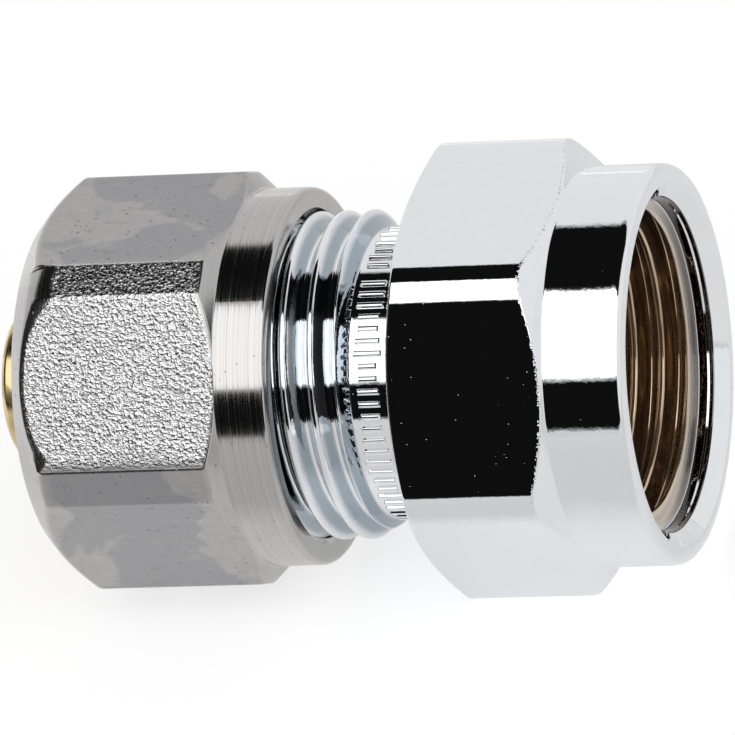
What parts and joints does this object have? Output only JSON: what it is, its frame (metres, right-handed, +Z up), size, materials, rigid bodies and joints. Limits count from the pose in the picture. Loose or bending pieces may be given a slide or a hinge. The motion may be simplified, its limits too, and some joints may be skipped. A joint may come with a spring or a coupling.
{
  "type": "compression fitting",
  "caption": "Straight compression coupling with a female pipe thread, a hexagon body and a compression nut that clamps a pipe on a brass insert.",
  "frame": {"origin": "centre of the mouth of the female port, on the axis", "axes": "+X along the axis out of the female port, +Z up with a body flat facing down, -X towards the pipe"},
  "size_m": [0.0438, 0.0292, 0.026],
  "materials": {
    "chrome_plate": "polished chrome plate on brass",
    "nickel_plate": "nickel plate on forged and blasted brass",
    "brass": "turned, bare",
    "rubber": "moulded",
    "white_plastic": "moulded"
  },
  "bodies": {
    "fitting": {"fitting_body": "chrome_plate", "pipe_insert": "brass", "seat_o_ring": "rubber", "front_pipe_o_ring": "rubber", "rear_pipe_o_ring": "rubber", "insulating_washer": "white_plastic"},
    "clamp": {"clamp_ring": "brass"},
    "nut": {"compression_nut": "nickel_plate"}
  },
  "joints": [
    {"name": "clamp_slide", "type": "slide", "parent": "fitting", "child": "clamp", "axis": [-1, 0, 0], "range_m": [-0.001, 0.006]},
    {"name": "nut_turn", "type": "hinge", "parent": "clamp", "child": "nut", "pos_m": [-0.03, 0, 0], "axis": [-1, 0, 0], "range_deg": [-190, 1170]}
  ],
  "couplings": [
    {"joint": "clamp_slide", "follows": "nut_turn", "m_per_rad": 0.00028875}
  ]
}
